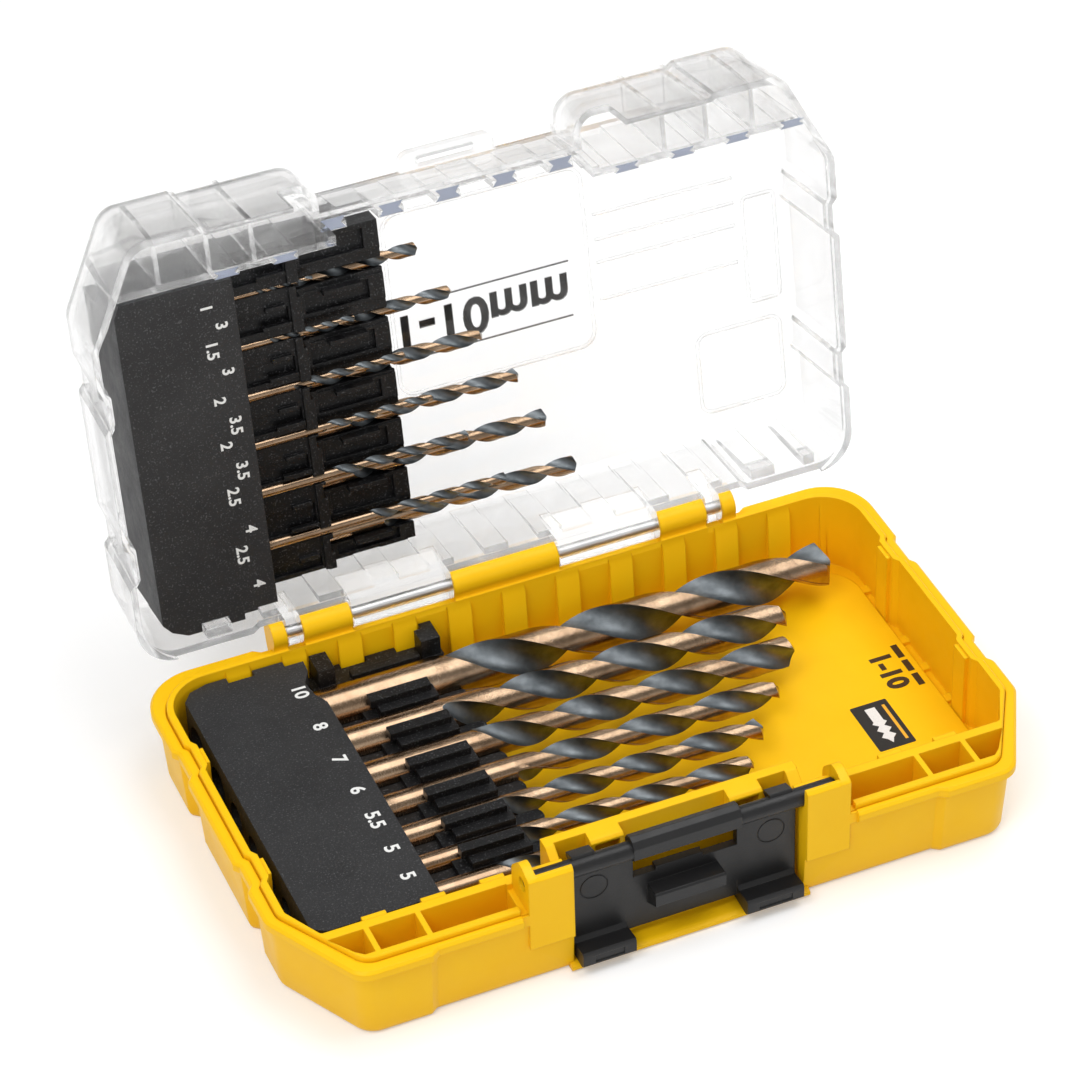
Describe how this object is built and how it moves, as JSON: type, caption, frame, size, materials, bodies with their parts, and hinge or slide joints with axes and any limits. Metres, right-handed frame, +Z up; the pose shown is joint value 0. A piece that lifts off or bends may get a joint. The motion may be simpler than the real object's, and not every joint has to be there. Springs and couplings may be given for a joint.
{
  "type": "drill bit case",
  "caption": "Hinged case with a clear lid and a coloured tray, holding graded twist drills in black racks, closed by a flip latch.",
  "frame": {"origin": "centre of the tray footprint on its bottom face", "axes": "X along the length towards the drill tips, Y back towards the hinge, Z up"},
  "size_m": [0.1684, 0.137, 0.1221],
  "materials": {
    "yellow_body": "moulded, satin",
    "clear_lid": "clear moulded plastic, polished",
    "latch_black": "moulded, satin",
    "rack_black": "fine texture",
    "block_black": "fine texture",
    "drill_steel": "bronze oxide with dark flutes",
    "pin_steel": "plain"
  },
  "bodies": {
    "tray": {"base_tray": "yellow_body", "base_bit_rack": "rack_black", "base_label_block": "block_black", "hinge_pin": "pin_steel"},
    "lid_shell": {"lid": "clear_lid", "lid_bit_rack": "rack_black", "lid_label_block": "block_black"},
    "latch_plate": {"latch": "latch_black"},
    "bit_10_body": {"bit_10": "drill_steel"},
    "bit_8_body": {"bit_8": "drill_steel"},
    "bit_7_body": {"bit_7": "drill_steel"},
    "bit_6_body": {"bit_6": "drill_steel"},
    "bit_5_5_body": {"bit_5_5": "drill_steel"},
    "bit_5_a_body": {"bit_5_a": "drill_steel"},
    "bit_5_b_body": {"bit_5_b": "drill_steel"},
    "bit_1_body": {"bit_1": "drill_steel"},
    "bit_1_5_body": {"bit_1_5": "drill_steel"},
    "bit_2_a_body": {"bit_2_a": "drill_steel"},
    "bit_2_b_body": {"bit_2_b": "drill_steel"},
    "bit_2_5_a_body": {"bit_2_5_a": "drill_steel"},
    "bit_2_5_b_body": {"bit_2_5_b": "drill_steel"},
    "bit_3_a_body": {"bit_3_a": "drill_steel"},
    "bit_3_b_body": {"bit_3_b": "drill_steel"},
    "bit_3_5_a_body": {"bit_3_5_a": "drill_steel"},
    "bit_3_5_b_body": {"bit_3_5_b": "drill_steel"},
    "bit_4_a_body": {"bit_4_a": "drill_steel"},
    "bit_4_b_body": {"bit_4_b": "drill_steel"}
  },
  "joints": [
    {"name": "lid_hinge", "type": "hinge", "parent": "tray", "child": "lid_shell", "pos_m": [0, 0.04985, 0.02325], "axis": [1, 0, 0], "range_deg": [0, 99.6]},
    {"name": "latch_pivot", "type": "hinge", "parent": "tray", "child": "latch_plate", "pos_m": [0, -0.0448, 0.0253], "axis": [-1, 0, 0], "range_deg": [0, 178]},
    {"name": "bit_10_slide", "type": "slide", "parent": "tray", "child": "bit_10_body", "axis": [1, 0, 0], "range_m": [0, 0.0064]},
    {"name": "bit_8_slide", "type": "slide", "parent": "tray", "child": "bit_8_body", "axis": [1, 0, 0], "range_m": [0, 0.023]},
    {"name": "bit_7_slide", "type": "slide", "parent": "tray", "child": "bit_7_body", "axis": [1, 0, 0], "range_m": [0, 0.0264]},
    {"name": "bit_6_slide", "type": "slide", "parent": "tray", "child": "bit_6_body", "axis": [1, 0, 0], "range_m": [0, 0.028]},
    {"name": "bit_5_5_slide", "type": "slide", "parent": "tray", "child": "bit_5_5_body", "axis": [1, 0, 0], "range_m": [0, 0.028]},
    {"name": "bit_5_a_slide", "type": "slide", "parent": "tray", "child": "bit_5_a_body", "axis": [1, 0, 0], "range_m": [0, 0.028]},
    {"name": "bit_5_b_slide", "type": "slide", "parent": "tray", "child": "bit_5_b_body", "axis": [1, 0, 0], "range_m": [0, 0.028]},
    {"name": "bit_1_slide", "type": "slide", "parent": "lid_shell", "child": "bit_1_body", "axis": [1, 0, 0], "range_m": [0, 0.0239]},
    {"name": "bit_1_5_slide", "type": "slide", "parent": "lid_shell", "child": "bit_1_5_body", "axis": [1, 0, 0], "range_m": [0, 0.0219]},
    {"name": "bit_2_a_slide", "type": "slide", "parent": "lid_shell", "child": "bit_2_a_body", "axis": [1, 0, 0], "range_m": [0, 0.0209]},
    {"name": "bit_2_b_slide", "type": "slide", "parent": "lid_shell", "child": "bit_2_b_body", "axis": [1, 0, 0], "range_m": [0, 0.0159]},
    {"name": "bit_2_5_a_slide", "type": "slide", "parent": "lid_shell", "child": "bit_2_5_a_body", "axis": [1, 0, 0], "range_m": [0, 0.0169]},
    {"name": "bit_2_5_b_slide", "type": "slide", "parent": "lid_shell", "child": "bit_2_5_b_body", "axis": [1, 0, 0], "range_m": [0, 0.0094]},
    {"name": "bit_3_a_slide", "type": "slide", "parent": "lid_shell", "child": "bit_3_a_body", "axis": [1, 0, 0], "range_m": [0, 0.025]},
    {"name": "bit_3_b_slide", "type": "slide", "parent": "lid_shell", "child": "bit_3_b_body", "axis": [1, 0, 0], "range_m": [0, 0.025]},
    {"name": "bit_3_5_a_slide", "type": "slide", "parent": "lid_shell", "child": "bit_3_5_a_body", "axis": [1, 0, 0], "range_m": [0, 0.025]},
    {"name": "bit_3_5_b_slide", "type": "slide", "parent": "lid_shell", "child": "bit_3_5_b_body", "axis": [1, 0, 0], "range_m": [0, 0.025]},
    {"name": "bit_4_a_slide", "type": "slide", "parent": "lid_shell", "child": "bit_4_a_body", "axis": [1, 0, 0], "range_m": [0, 0.025]},
    {"name": "bit_4_b_slide", "type": "slide", "parent": "lid_shell", "child": "bit_4_b_body", "axis": [1, 0, 0], "range_m": [0, 0.025]}
  ]
}
